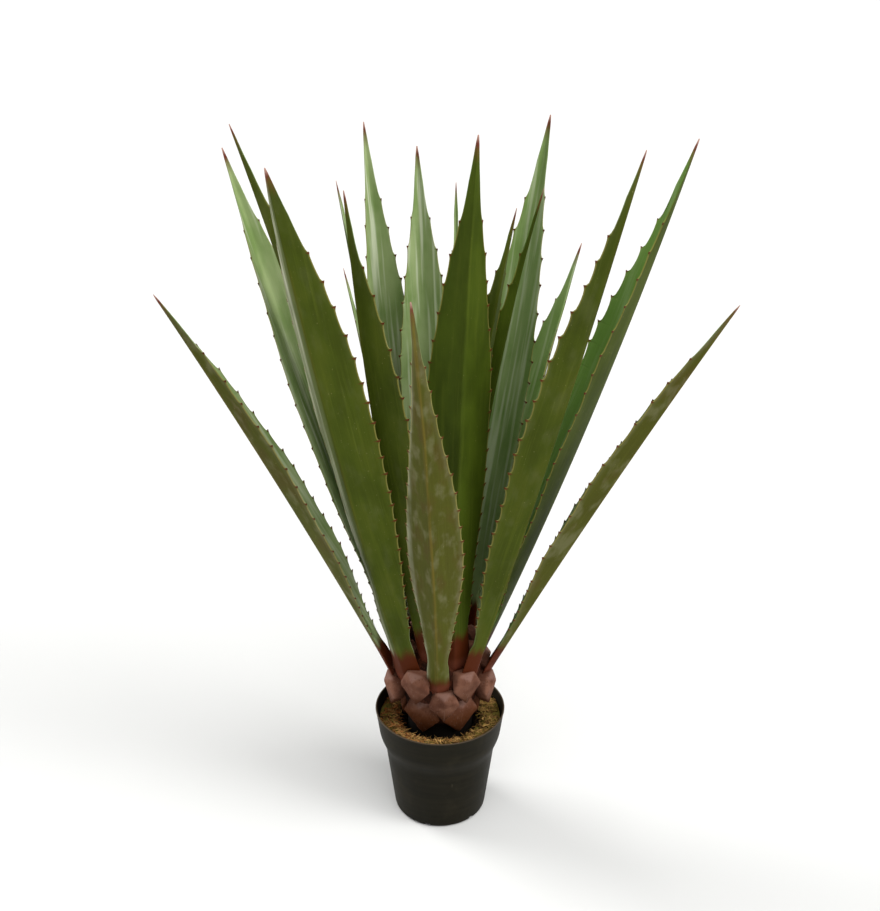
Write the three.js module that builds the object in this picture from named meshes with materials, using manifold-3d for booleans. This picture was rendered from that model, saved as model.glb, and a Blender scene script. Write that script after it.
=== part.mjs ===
// Potted agave: a rosette of stiff, channelled, toothed leaves on a short trunk of cut leaf stubs,
// rooted in a round plastic nursery pot. Millimetres, +Z up, origin at the middle of the pot's flat foot.
// Bearings are degrees round +Z from +X. The front of the plant looks along -Y.

import * as THREE from 'three';
import Module from 'manifold-3d';
import { mergeVertices } from 'three/addons/utils/BufferGeometryUtils.js';
import { ConvexGeometry } from 'three/addons/geometries/ConvexGeometry.js';

const wasm = await Module();
wasm.setup();

// Driving dimensions

const GAP = 0.3; // between two pieces that rest on each other
const SOCKET_GAP = 0.5; // round a leaf's root end, measured along its section
const ROUND_SIDES = 48;

const pot = {
  height: 137,
  rim: 76, // outer radius at the lip
  band: 71, // outer radius at the lower end of the band under the lip
  bandHeight: 102,
  neck: 64.5, // outer radius where the plain wall ends below the band
  neckHeight: 86,
  foot: 54.4, // outer radius just over the rounded foot
  footRound: 5, // height of that rounding
  stand: 51, // radius of the flat underside
  wall: 1.8,
  floor: 2,
};
const drain = { count: 6, bearing: 194, radius: 53, up: 1.4, wide: 7, deep: 12, high: 6 };
const soil = { top: 118, holeFloor: 60, dishRadius: 46, dishDepth: 8 };
const mulch = { inside: 47.5, height: 8, roughness: 1.7, sides: 84 };
const trunk = { root: 38, rootDepth: 60, crownTop: 268, sides: 22 };

// How wide a leaf is along its length, as shares of its full width at these shares of its length
const STATIONS = [0, 0.08, 0.14, 0.23, 0.36, 0.48, 0.6, 0.7, 0.79, 0.87, 0.94, 1];
const LONG = [0.44, 0.4, 0.52, 0.74, 0.93, 1, 0.94, 0.75, 0.52, 0.28, 0.11, 0.015];
const BROAD = [0.42, 0.38, 0.5, 0.72, 0.9, 1, 0.99, 0.89, 0.68, 0.44, 0.2, 0.015];
const SHORT = [0.38, 0.35, 0.48, 0.77, 1, 0.93, 0.71, 0.5, 0.32, 0.18, 0.08, 0.015];
const SPREADING = [0.42, 0.31, 0.36, 0.59, 0.92, 1, 0.95, 0.82, 0.62, 0.4, 0.19, 0.015];

const leaf = {
  rootLength: 10, // sunk in its socket in the trunk
  baseThickness: 7.5,
  tipThickness: 1.4,
  edgeThickness: 1.2,
  teeth: 11, // on each margin
  firstTooth: 0.14, // shares of the length
  lastTooth: 0.84,
  toothOut: 2.8,
  toothIn: 1.3,
  toothLength: 5, // from the point of the hook to the notch above it
};

// Each leaf leaves the crown at a bearing, distance out and height, and runs to its tip. Arch lifts the
// middle of its length up and in, sway moves it sideways, facing is the bearing that its outer face
// looks to, turn is the twist of that bearing from base to tip, and fold is the slope of each half.
const LEAVES = {
  leaf_low_1: { at: -93, out: 50, up: 196, tip: [-26, -190, 707], arch: 0, sway: 4, wide: 70,
    fold: 33, facing: -99, turn: 0, form: SHORT },
  leaf_low_2: { at: -46, out: 50, up: 198, tip: [190, -80, 815], arch: -4, sway: 0, wide: 72,
    fold: 38, facing: -42, turn: 0, form: LONG },
  leaf_low_3: { at: -8, out: 57, up: 196, tip: [294, -60, 657], arch: 3, sway: 0, wide: 54,
    fold: 44, facing: -22, turn: -16, form: SPREADING },
  leaf_low_4: { at: 34, out: 50, up: 198, tip: [158, 150, 654], arch: 7, sway: 0, wide: 66,
    fold: 38, facing: 30, turn: 0, form: LONG },
  leaf_low_5: { at: 68, out: 50, up: 200, tip: [18, 190, 712], arch: 0, sway: 0, wide: 46,
    fold: 38, facing: 90, turn: 0, form: SHORT },
  leaf_low_6: { at: 101, out: 50, up: 198, tip: [-4, 230, 571], arch: 0, sway: 0, wide: 62,
    fold: 38, facing: 95, turn: 0, form: SHORT },
  leaf_low_7: { at: 133, out: 50, up: 198, tip: [-110, 170, 618], arch: 16, sway: 0, wide: 50,
    fold: 38, facing: 150, turn: 0, form: SHORT },
  leaf_low_8: { at: 162, out: 50, up: 198, tip: [-157, 120, 562], arch: 0, sway: 0, wide: 58,
    fold: 38, facing: 136, turn: 0, form: SHORT },
  leaf_low_9: { at: -170, out: 57, up: 196, tip: [-280, -60, 668], arch: 4, sway: 0, wide: 54,
    fold: 44, facing: -174, turn: 44, form: SPREADING },
  leaf_low_10: { at: -138, out: 50, up: 198, tip: [-161, -90, 801], arch: -7, sway: 0, wide: 86,
    fold: 38, facing: -117, turn: 0, form: BROAD },
  leaf_tall_1: { at: -66, out: 40, up: 220, tip: [36, -50, 822], arch: 0, sway: -9, wide: 84,
    fold: 38, facing: -84, turn: 0, form: LONG },
  leaf_tall_2: { at: 4, out: 48, up: 212, tip: [254, 10, 804], arch: -9, sway: 0, wide: 84,
    fold: 38, facing: 4, turn: 0, form: LONG },
  leaf_tall_3: { at: 55, out: 42, up: 218, tip: [113, 80, 812], arch: -1, sway: 0, wide: 81,
    fold: 42, facing: 76, turn: 0, form: LONG },
  leaf_tall_4: { at: 118, out: 42, up: 218, tip: [-80, 110, 798], arch: 0, sway: 5, wide: 68,
    fold: 38, facing: 114, turn: 0, form: LONG },
  leaf_tall_5: { at: 164, out: 44, up: 214, tip: [-222, 60, 783], arch: -4, sway: 0, wide: 76,
    fold: 38, facing: 127, turn: 0, form: LONG },
  leaf_tall_6: { at: -164, out: 42, up: 220, tip: [-206, 12, 818], arch: 6, sway: 0, wide: 66,
    fold: 40, facing: -140, turn: 0, form: LONG },
  leaf_tall_7: { at: -123, out: 36, up: 228, tip: [-93, -36, 765], arch: -9, sway: 0, wide: 74,
    fold: 38, facing: -142, turn: 0, form: LONG },
  leaf_heart_1: { at: 92, out: 28, up: 240, tip: [-24, 88, 778], arch: 0, sway: 0, wide: 76,
    fold: 38, facing: 92, turn: 0, form: LONG },
  leaf_heart_2: { at: 156, out: 26, up: 242, tip: [-107, 60, 749], arch: 0, sway: 0, wide: 40,
    fold: 38, facing: 160, turn: 0, form: LONG },
  leaf_heart_3: { at: 16, out: 26, up: 242, tip: [104, 15, 753], arch: 13, sway: 0, wide: 36,
    fold: 50, facing: -60, turn: 0, form: LONG },
  leaf_heart_4: { at: -40, out: 24, up: 244, tip: [75, -26, 745], arch: 10, sway: 0, wide: 46,
    fold: 45, facing: -66, turn: 0, form: LONG },
};

// The cut leaf stubs round the trunk, in four rows from the mulch up: bearing, height of the middle, radius
// of the point that stands out furthest, width and height of each
const STUBS = [
  [-119, 148, 51, 49, 48], [-59, 149, 52, 50, 48], [1, 147, 51, 50, 46],
  [62, 148, 50, 50, 47], [121, 147, 51, 50, 46], [180, 148, 51, 49, 47],
  [-85, 172, 62, 37, 40], [-17, 173, 68, 40, 42], [34, 173, 62, 42, 42],
  [92, 172, 61, 42, 42], [149, 174, 62, 42, 42], [-162, 173, 68, 42, 42],
  [-121, 192, 63, 40, 44], [-57, 193, 64, 38, 42], [6, 195, 60, 36, 40],
  [64, 194, 61, 40, 42], [120, 195, 62, 40, 42], [176, 195, 60, 37, 40],
  [-154, 220, 54, 24, 32], [-26, 220, 54, 24, 32], [24, 220, 50, 24, 30],
  [92, 219, 53, 26, 32], [142, 220, 51, 24, 30],
];

// Helpers

function randomFrom(seed) {
  let state = seed;
  return () => {
    state = (state + 0x6d2b79f5) | 0;
    let t = Math.imul(state ^ (state >>> 15), 1 | state);
    t = (t + Math.imul(t ^ (t >>> 7), 61 | t)) ^ t;
    return ((t ^ (t >>> 14)) >>> 0) / 4294967296;
  };
}

function radians(degrees) {
  return (degrees * Math.PI) / 180;
}

function lookUp(x, places, values) {
  if (x <= places[0]) return values[0];
  for (let i = 1; i < places.length; i += 1) {
    if (x <= places[i]) {
      const share = (x - places[i - 1]) / (places[i] - places[i - 1]);
      return values[i - 1] + (values[i] - values[i - 1]) * share;
    }
  }
  return values[values.length - 1];
}

function geometryFrom(points, triangles) {
  const geometry = new THREE.BufferGeometry();
  const flat = points.flatMap((point) => [point.x, point.y, point.z]);
  geometry.setAttribute('position', new THREE.Float32BufferAttribute(flat, 3));
  geometry.setIndex(triangles.flat());
  return geometry;
}

function solidFrom(geometry) {
  const bare = geometry.clone();
  bare.deleteAttribute('normal');
  bare.deleteAttribute('uv');
  const merged = mergeVertices(bare, 1e-4);
  return new wasm.Manifold(new wasm.Mesh({
    numProp: 3,
    vertProperties: Float32Array.from(merged.attributes.position.array),
    triVerts: Uint32Array.from(merged.index.array),
  }));
}

function geometryOf(solid) {
  const mesh = solid.getMesh();
  const geometry = new THREE.BufferGeometry();
  geometry.setAttribute('position', new THREE.Float32BufferAttribute(mesh.vertProperties, 3));
  geometry.setIndex(Array.from(mesh.triVerts));
  return geometry;
}

// The body itself, without the scraps that sockets cut off from it
function largestPiece(solid) {
  const pieces = solid.decompose();
  return pieces.reduce((best, piece) => (piece.volume() > best.volume() ? piece : best));
}

// A solid of revolution about +Z, from [radius, height] pairs that run up its outside
function turned(profile, sides = ROUND_SIDES) {
  const outline = profile.map(([radius, height]) => new THREE.Vector2(radius, height));
  const geometry = new THREE.LatheGeometry(outline, sides);
  geometry.rotateX(Math.PI / 2);
  return solidFrom(geometry);
}

// Pot

function potSolid() {
  const { wall, floor } = pot;
  let body = turned([
    [0, 0],
    [pot.stand, 0],
    [pot.foot - 1, 1.4],
    [pot.foot, pot.footRound],
    [pot.neck, pot.neckHeight],
    [pot.band, pot.bandHeight],
    [pot.rim - 0.6, pot.height - 2],
    [pot.rim, pot.height - 1.2],
    [pot.rim - 0.6, pot.height],
    [pot.rim - wall, pot.height],
    [pot.band - wall, pot.bandHeight + 0.5],
    [pot.neck - wall, pot.neckHeight + 0.5],
    [pot.foot - wall, pot.footRound + 0.5],
    [pot.stand - 0.6, floor],
    [0, floor],
  ]);
  for (let i = 0; i < drain.count; i += 1) {
    const bearing = radians(drain.bearing + (360 / drain.count) * i);
    const opening = new THREE.BoxGeometry(drain.deep, drain.wide, drain.high);
    opening.rotateZ(bearing);
    opening.translate(drain.radius * Math.cos(bearing), drain.radius * Math.sin(bearing), drain.up);
    body = body.subtract(solidFrom(opening));
  }
  return body;
}

// Soil, with a dish round the trunk and a plain hole for its root end

function soilSolid() {
  const inset = pot.wall + GAP;
  const slope = (pot.rim - pot.band) / (pot.height - pot.bandHeight);
  return turned([
    [0, pot.floor + GAP],
    [pot.stand - 0.9, pot.floor + GAP],
    [pot.foot - inset, pot.footRound + 0.8],
    [pot.neck - inset, pot.neckHeight + 0.8],
    [pot.band - inset, pot.bandHeight + 0.8],
    [pot.band - inset + slope * (soil.top - pot.bandHeight - 0.8), soil.top],
    [soil.dishRadius, soil.top],
    [trunk.root + GAP, soil.top - soil.dishDepth],
    [trunk.root + GAP, soil.holeFloor - GAP],
    [0, soil.holeFloor - GAP],
  ]);
}

// Mulch, a ring with a rough top of loose fibre

function mulchGeometry() {
  const draw = randomFrom(7);
  const floor = soil.top + GAP;
  const outside = pot.band - pot.wall - GAP;
  const rings = [
    { radius: mulch.inside, height: 0, rough: 0 },
    { radius: mulch.inside + 1.2, height: mulch.height * 0.5, rough: 0.8 },
    { radius: mulch.inside + 4.6, height: mulch.height * 0.9, rough: 1 },
    { radius: mulch.inside + 8.4, height: mulch.height, rough: 1 },
    { radius: mulch.inside + 12.2, height: mulch.height, rough: 1 },
    { radius: mulch.inside + 18, height: mulch.height * 0.95, rough: 1 },
    { radius: outside + 2.2, height: mulch.height * 0.8, rough: 0.6 },
    { radius: outside + 1.9, height: 0, rough: 0 },
  ];
  const points = [];
  const triangles = [];
  for (const ring of rings) {
    for (let i = 0; i < mulch.sides; i += 1) {
      const bearing = (2 * Math.PI * i) / mulch.sides;
      const lift = (2 * draw() - 1) * mulch.roughness * ring.rough;
      const z = floor + ring.height + lift;
      points.push(new THREE.Vector3(ring.radius * Math.cos(bearing), ring.radius * Math.sin(bearing), z));
    }
  }
  for (let j = 0; j < rings.length; j += 1) {
    const next = (j + 1) % rings.length;
    for (let i = 0; i < mulch.sides; i += 1) {
      const k = (i + 1) % mulch.sides;
      const a = j * mulch.sides + i;
      const b = j * mulch.sides + k;
      const c = next * mulch.sides + k;
      const d = next * mulch.sides + i;
      triangles.push([a, c, b], [a, d, c]);
    }
  }
  return geometryFrom(points, triangles);
}

// Leaves

// The leaf's frame at a share of its length: middle, direction, side and inward normal, with the half
// width, the slope of each half and the thickness there
function frameAt(row, share) {
  const bearing = radians(row.at);
  const base = new THREE.Vector3(row.out * Math.cos(bearing), row.out * Math.sin(bearing), row.up);
  const tip = new THREE.Vector3(...row.tip);
  const chord = tip.clone().sub(base);
  const across = new THREE.Vector3(0, 0, 1).cross(chord).normalize();
  const inward = chord.clone().normalize().cross(across);
  const control = base.clone().add(tip).multiplyScalar(0.5);
  control.addScaledVector(inward, 2 * row.arch).addScaledVector(across, 2 * row.sway);
  const along = new THREE.QuadraticBezierCurve3(base, control, tip);
  const middle = along.getPoint(share);
  const direction = along.getTangent(share);
  const facing = radians(row.facing + row.turn * (share - 0.5));
  const side = new THREE.Vector3(-Math.sin(facing), Math.cos(facing), 0);
  const normal = direction.clone().cross(side).normalize();
  side.copy(normal).cross(direction);
  const half = Math.max((lookUp(share, STATIONS, row.form) * row.wide) / 2, 0.6);
  const slope = radians(row.fold * lookUp(share, [0, 0.08, 0.2, 0.75, 1], [0.4, 0.6, 1, 1, 0.85]));
  const thickness = leaf.tipThickness + (leaf.baseThickness - leaf.tipThickness) * (1 - share) ** 1.3;
  return { middle, direction, side, normal, half, slope, thickness };
}

// A point on the blade: u runs from -1 to 1 across it, level is 1 on the inner and -1 on the outer face,
// out is how far a margin stands beyond the plain outline
function bladePoint(frame, u, level, out = 0) {
  const softness = 0.22; // of the fold at the keel
  const rise = (Math.hypot(u, softness) - softness) / (Math.hypot(1, softness) - softness);
  const reach = frame.half + out;
  const thick = frame.thickness + (leaf.edgeThickness - frame.thickness) * u * u;
  return frame.middle.clone()
    .addScaledVector(frame.side, reach * u * Math.cos(frame.slope))
    .addScaledVector(frame.normal, reach * rise * Math.sin(frame.slope) + (level * thick) / 2);
}

// Points along one margin as share of the length and distance beyond the outline: at each tooth the
// point of the hook, which looks up the leaf, then the notch just above it
function marginOf(length) {
  const margin = STATIONS.filter((share) => share < leaf.firstTooth - 0.02).map((share) => [share, 0]);
  for (let i = 0; i < leaf.teeth; i += 1) {
    const share = leaf.firstTooth
      + (leaf.lastTooth - leaf.firstTooth) * (i / (leaf.teeth - 1)) ** 1.15;
    margin.push([share, leaf.toothOut]);
    margin.push([share + leaf.toothLength / length, -leaf.toothIn]);
  }
  margin.push([leaf.lastTooth + 0.05, 0], [0.95, 0], [1, 0]);
  return margin;
}

// The root end below the base, sunk in the trunk
function rootFrame(row, depth) {
  const frame = frameAt(row, 0);
  frame.middle.addScaledVector(frame.direction, -depth);
  frame.half *= 0.8;
  return frame;
}

function leafGeometry(row) {
  const length = new THREE.Vector3(...row.tip).distanceTo(frameAt(row, 0).middle);
  const stations = [-1, ...STATIONS];
  const frames = stations.map((share) => (share < 0 ? rootFrame(row, leaf.rootLength) : frameAt(row, share)));
  const margin = [[-1, 0], ...marginOf(length)];
  const points = [];
  const triangles = [];
  const add = (point) => points.push(point) - 1;
  const face = (level) => {
    const inner = [-0.5, 0, 0.5].map((u) => frames.map((frame) => add(bladePoint(frame, u, level))));
    const edges = [-1, 1].map((u) => margin.map(([share, out]) => {
      const frame = share < 0 ? frames[0] : frameAt(row, share);
      return add(bladePoint(frame, u, level, out));
    }));
    return [edges[0], ...inner, edges[1]];
  };
  const top = face(1);
  const under = face(-1);
  const put = (a, b, c, flip) => triangles.push(flip ? [a, b, c] : [a, c, b]);
  // Two lines of points that run side by side, joined by triangles in step with their shares
  const stitch = (left, right, leftShares, rightShares, flip) => {
    let i = 0;
    let j = 0;
    while (i < left.length - 1 || j < right.length - 1) {
      const leftNext = i < left.length - 1 ? leftShares[i + 1] : Infinity;
      const rightNext = j < right.length - 1 ? rightShares[j + 1] : Infinity;
      if (leftNext <= rightNext) {
        put(left[i], right[j], left[i + 1], flip);
        i += 1;
      } else {
        put(left[i], right[j], right[j + 1], flip);
        j += 1;
      }
    }
  };
  const marginShares = margin.map(([share]) => share);
  const shares = [marginShares, stations, stations, stations, marginShares];
  for (let column = 0; column < 4; column += 1) {
    const [leftShares, rightShares] = [shares[column], shares[column + 1]];
    stitch(top[column], top[column + 1], leftShares, rightShares, false);
    stitch(under[column], under[column + 1], leftShares, rightShares, true);
    for (const end of [0, -1]) {
      const [a, b] = [top[column].at(end), top[column + 1].at(end)];
      const [c, d] = [under[column].at(end), under[column + 1].at(end)];
      put(a, c, b, end === -1);
      put(b, c, d, end === -1);
    }
  }
  for (const [edge, flip] of [[0, true], [4, false]]) {
    stitch(top[edge], under[edge], marginShares, marginShares, flip);
  }
  return geometryFrom(points, triangles);
}

// The socket that a leaf's root end stands in, a little larger than the leaf all round
function socketSolid(row) {
  const frames = [rootFrame(row, leaf.rootLength + GAP)];
  for (const share of STATIONS.slice(0, 2)) frames.push(frameAt(row, share));
  const rings = frames.map((frame) => {
    const roomy = { ...frame, half: frame.half + SOCKET_GAP };
    const ring = [];
    for (const level of [1, -1]) {
      for (const u of [-1, -0.5, 0, 0.5, 1]) {
        const point = bladePoint(roomy, level * u, level);
        ring.push(point.addScaledVector(frame.normal, level * SOCKET_GAP));
      }
    }
    return ring;
  });
  const points = rings.flat();
  const count = rings[0].length;
  const triangles = [];
  for (let j = 0; j < rings.length - 1; j += 1) {
    for (let i = 0; i < count; i += 1) {
      const k = (i + 1) % count;
      const [a, b, c, d] = [j * count + i, j * count + k, (j + 1) * count + k, (j + 1) * count + i];
      triangles.push([a, c, b], [a, d, c]);
    }
  }
  const last = (rings.length - 1) * count;
  for (let i = 0; i < 4; i += 1) {
    const [a, b, c, d] = [i, i + 1, count - 2 - i, count - 1 - i];
    triangles.push([a, b, c], [a, c, d]);
    triangles.push([last + a, last + c, last + b], [last + a, last + d, last + c]);
  }
  return solidFrom(geometryFrom(points, triangles));
}

// Trunk

// A cut stub: a pale triangular cut on top, and two faces that meet on a ridge and run down to a point
function stubSolid(bearing, up, out, wide, high) {
  const place = (across, radius, z) => {
    const [c, s] = [Math.cos(bearing), Math.sin(bearing)];
    return new THREE.Vector3(radius * c - across * s, radius * s + across * c, up + z);
  };
  return solidFrom(new ConvexGeometry([
    place(-0.28 * wide, out - 8, 0.5 * high),
    place(0.28 * wide, out - 8, 0.5 * high),
    place(0, out, 0.33 * high),
    place(-0.5 * wide, out - 7, 0.06 * high),
    place(0.5 * wide, out - 7, 0.06 * high),
    place(0, out - 8.5, -0.5 * high),
    place(-0.24 * wide, out - 26, 0.44 * high),
    place(0.24 * wide, out - 26, 0.44 * high),
    place(0, out - 26, -0.4 * high),
  ]));
}

function trunkSolid() {
  let body = turned([
    [0, trunk.rootDepth],
    [trunk.root - 2, trunk.rootDepth],
    [trunk.root, trunk.rootDepth + 3],
    [trunk.root, 126],
    [42, 146],
    [47, 166],
    [52, 186],
    [51, 200],
    [43, 217],
    [36, 232],
    [26, 248],
    [13, 262],
    [0, trunk.crownTop],
  ], trunk.sides);
  for (const [at, up, out, wide, high] of STUBS) body = body.add(stubSolid(radians(at), up, out, wide, high));
  for (const row of Object.values(LEAVES)) body = body.subtract(socketSolid(row));
  return largestPiece(body);
}

// Assembly

const part = new THREE.Group();

function place(name, geometry, color, roughness) {
  const material = new THREE.MeshStandardMaterial({ color, roughness, metalness: 0 });
  const mesh = new THREE.Mesh(geometry, material);
  mesh.name = name;
  part.add(mesh);
}

place('pot', geometryOf(potSolid()), 0x33312a, 0.6);
place('soil', geometryOf(soilSolid()), 0x241a12, 0.95);
place('mulch', mulchGeometry(), 0xa8844a, 0.95);
place('trunk', geometryOf(trunkSolid()), 0x85604f, 0.85);
for (const [name, row] of Object.entries(LEAVES)) place(name, leafGeometry(row), 0x5c7038, 0.55);

export default part;
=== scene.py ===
# Potted agave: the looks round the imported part. Metres, +Z up, and the front of the plant looks along -Y.
import math

import bpy
import numpy as np
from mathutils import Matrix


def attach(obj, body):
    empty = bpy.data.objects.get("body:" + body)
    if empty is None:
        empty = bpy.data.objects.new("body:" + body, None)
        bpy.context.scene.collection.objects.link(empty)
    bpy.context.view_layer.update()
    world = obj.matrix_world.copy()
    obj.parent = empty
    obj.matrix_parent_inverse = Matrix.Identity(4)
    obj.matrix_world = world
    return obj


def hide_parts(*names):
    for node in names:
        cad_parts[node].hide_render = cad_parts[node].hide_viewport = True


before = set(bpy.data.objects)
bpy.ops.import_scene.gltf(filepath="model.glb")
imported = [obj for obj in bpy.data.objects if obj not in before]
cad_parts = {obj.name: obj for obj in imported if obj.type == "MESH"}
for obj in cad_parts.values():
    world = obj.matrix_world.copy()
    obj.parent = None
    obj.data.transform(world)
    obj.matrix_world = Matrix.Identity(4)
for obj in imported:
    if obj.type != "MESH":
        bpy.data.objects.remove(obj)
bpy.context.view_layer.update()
mm = 0.001
print("frame loaded")


# Helpers for meshes

# Random values at the points of a lattice, blended smoothly between them: from -1 to 1 at every point
def lumps(points, grain, seed):
    size = 32
    table = np.random.default_rng(seed).uniform(-1, 1, (size, size, size))
    cell = np.floor(points / grain).astype(int)
    part = points / grain - cell
    part = part * part * (3 - 2 * part)
    value = np.zeros(points.shape[:-1])
    for corner in np.ndindex(2, 2, 2):
        weight = np.where(np.array(corner), part, 1 - part).prod(axis=-1)
        x, y, z = np.moveaxis((cell + corner) % size, -1, 0)
        value += weight * table[x, y, z]
    return value


# A cubic curve through the given points, with each point's slope taken from its neighbours
def smoothCurve(x, places, values):
    places, values = np.asarray(places, float), np.asarray(values, float)
    slopes = np.gradient(values, places)
    x = np.clip(x, places[0], places[-1])
    i = np.clip(np.searchsorted(places, x) - 1, 0, len(places) - 2)
    gap = places[i + 1] - places[i]
    t = (x - places[i]) / gap
    start = (1 + 2 * t) * (1 - t) ** 2 * values[i] + t * (1 - t) ** 2 * gap * slopes[i]
    return start + t * t * (3 - 2 * t) * values[i + 1] + t * t * (t - 1) * gap * slopes[i + 1]


# Skins over stacks of rings, as an array [stack, ring, point, xyz]: each ring is joined to the next by
# quads, and the two end rings are closed by fans round their middles, which are added as two more points
def skinsOver(rings):
    count, length, around = rings.shape[:3]
    points = np.concatenate([rings.reshape(count, -1, 3), rings[:, [0, -1]].mean(axis=2)], axis=1)
    low = np.arange(length - 1)[:, None] * around
    a = np.arange(around)
    b = (a + 1) % around
    quads = np.stack([low + a, low + b, low + around + b, low + around + a], axis=-1).reshape(-1, 4)
    last = (length - 1) * around
    first, end = np.full(around, length * around), np.full(around, length * around + 1)
    fans = np.concatenate([np.stack([first, b, a], axis=-1), np.stack([last + a, last + b, end], axis=-1)])
    x = points[0]
    volume = np.einsum("ij,ij->i", x[fans[:, 0]], np.cross(x[fans[:, 1]], x[fans[:, 2]])).sum()
    for p, q, r in ((0, 1, 2), (0, 2, 3)):
        volume += np.einsum("ij,ij->i", x[quads[:, p]], np.cross(x[quads[:, q]], x[quads[:, r]])).sum()
    if volume < 0:  # the rings run the other way round, so the faces would point inwards
        quads, fans = quads[:, ::-1], fans[:, ::-1]
    offsets = (np.arange(count) * (length * around + 2))[:, None, None]
    return points.reshape(-1, 3), (quads + offsets).reshape(-1, 4), (fans + offsets).reshape(-1, 3)


# One value a ring point, brought to the order of skinsOver, with the mean of the end rings for the caps
def onSkins(values):
    count = values.shape[0]
    return np.concatenate([values.reshape(count, -1), values[:, [0, -1]].mean(axis=2)], axis=1).ravel()


# A mesh piece in metres from points in millimetres, with its attributes, riding on the one body
def makePiece(name, nodes, slotName, material, points, quads, triangles, attributes=None):
    mesh = bpy.data.meshes.new(name)
    mesh.vertices.add(len(points))
    mesh.vertices.foreach_set("co", (points * mm).astype(np.float32).ravel())
    corners = np.concatenate([quads.ravel(), triangles.ravel()]).astype(np.int32)
    starts = np.concatenate([np.arange(len(quads)) * 4, len(quads) * 4 + np.arange(len(triangles)) * 3])
    mesh.loops.add(len(corners))
    mesh.loops.foreach_set("vertex_index", corners)
    mesh.polygons.add(len(starts))
    mesh.polygons.foreach_set("loop_start", starts.astype(np.int32))
    mesh.update(calc_edges=True)
    mesh.shade_smooth()
    for key, values in (attributes or {}).items():
        layer = mesh.attributes.new(key, "FLOAT_VECTOR", "POINT")
        layer.data.foreach_set("vector", np.stack(values, axis=-1).astype(np.float32).ravel())
    mesh.materials.append(material)
    piece = bpy.data.objects.new(name, mesh)
    bpy.context.scene.collection.objects.link(piece)
    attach(piece, "root")
    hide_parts(*nodes)
    return piece


# Helpers for materials

# An sRGB hex colour as a linear one
def linear(hexColour):
    parts = [int(hexColour[i:i + 2], 16) / 255 for i in (1, 3, 5)]
    return [p / 12.92 if p <= 0.04045 else ((p + 0.055) / 1.055) ** 2.4 for p in parts] + [1]


# Adds a node: inputs are plain values or the outputs of other nodes, settings its own properties
def addNode(tree, kind, inputs=None, **settings):
    node = tree.nodes.new("ShaderNode" + kind)
    for key, value in settings.items():
        setattr(node, key, value)
    for key, value in (inputs or {}).items():
        if isinstance(value, bpy.types.NodeSocket):
            tree.links.new(value, node.inputs[key])
        else:
            node.inputs[key].default_value = value
    return node


# A Principled material. Shine is its specular level, kept low because these surfaces are dull.
def newMaterial(name, roughness, ior, shine=0.12):
    material = bpy.data.materials.new(name)
    material.use_nodes = True
    tree = material.node_tree
    shader = tree.nodes["Principled BSDF"]
    shader.inputs["Roughness"].default_value = roughness
    shader.inputs["IOR"].default_value = ior
    shader.inputs["Specular IOR Level"].default_value = shine
    return material, tree, shader


# Colour b laid over colour a by a share
def over(tree, a, b, share):
    return addNode(tree, "Mix", {0: share, 6: a, 7: b}, data_type="RGBA").outputs[2]


# A value brought from one range to 0 to 1, smoothly and kept inside
def ramp(tree, value, low, high):
    inputs = {"Value": value, "From Min": low, "From Max": high}
    return addNode(tree, "MapRange", inputs, interpolation_type="SMOOTHSTEP").outputs[0]


def maths(tree, operation, a, b=0.0):
    return addNode(tree, "Math", {0: a, 1: b}, operation=operation).outputs[0]


# The three values of an attribute
def attributeParts(tree, name):
    values = addNode(tree, "Attribute", attribute_name=name).outputs["Vector"]
    return addNode(tree, "SeparateXYZ", {0: values}).outputs


def times(tree, a, b):
    return maths(tree, "MULTIPLY", a, b)


# Noise at places scaled by three factors, 0 to 1 round 0.5
def grain(tree, place, factors, detail=2.0):
    scaled = addNode(tree, "VectorMath", {0: place, 1: factors}, operation="MULTIPLY").outputs[0]
    inputs = {"Vector": scaled, "Scale": 1.0, "Detail": detail}
    return addNode(tree, "TexNoise", inputs).outputs["Fac"]


# Leaves

leafSizes = {
    "stations": [0, 0.08, 0.14, 0.23, 0.36, 0.48, 0.6, 0.7, 0.79, 0.87, 0.94, 1],
    "long": [0.44, 0.4, 0.52, 0.74, 0.93, 1, 0.94, 0.75, 0.52, 0.28, 0.11, 0.015],
    "broad": [0.42, 0.38, 0.5, 0.72, 0.9, 1, 0.99, 0.89, 0.68, 0.44, 0.2, 0.015],
    "short": [0.38, 0.35, 0.48, 0.77, 1, 0.93, 0.71, 0.5, 0.32, 0.18, 0.08, 0.015],
    "spreading": [0.42, 0.31, 0.36, 0.59, 0.92, 1, 0.95, 0.82, 0.62, 0.4, 0.19, 0.015],
    "root": 10,  # mm below the base, hidden in the trunk
    "baseThickness": 7.5,
    "tipThickness": 1.4,
    "edgeThickness": 1.3,
    "firstTooth": 0.12,  # shares of the length
    "lastTooth": 0.86,
    "toothSpacing": 20,  # mm, the mean
    "spacingAtTip": 2.4,  # times that near the base
    "spike": 2.1,  # mm, how far a hook stands out of its cusp
    "cusp": 0.7,  # mm, how far the cusps stand past the plain outline
    "hookPoints": [-3.6, -1.9, -0.8, 0, 0.5, 1.2, 2.3, 4.0],  # mm from the tooth, along the margin
    "hookBelow": 4.0,  # mm that a hook reaches down and up the margin from its point
    "hookAbove": 1.4,
    "bayPoints": [0.25, 0.5, 0.77],  # shares of the bay
    "bayLongest": 38,  # mm, past which a longer bay is no deeper
    "acrossPoints": [0, 0.04, 0.16, 0.35, 0.56, 0.79],  # shares of the way from keel to margin
    "waveLengths": (21, 24),  # mm over 2 pi, of the left and right margins
    "keelOutside": 0.025,  # softness of the fold on each face, as a share of the half width
    "keelInside": 0.2,
    "wave": 0.9,  # mm, of the margins in and out
}

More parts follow.
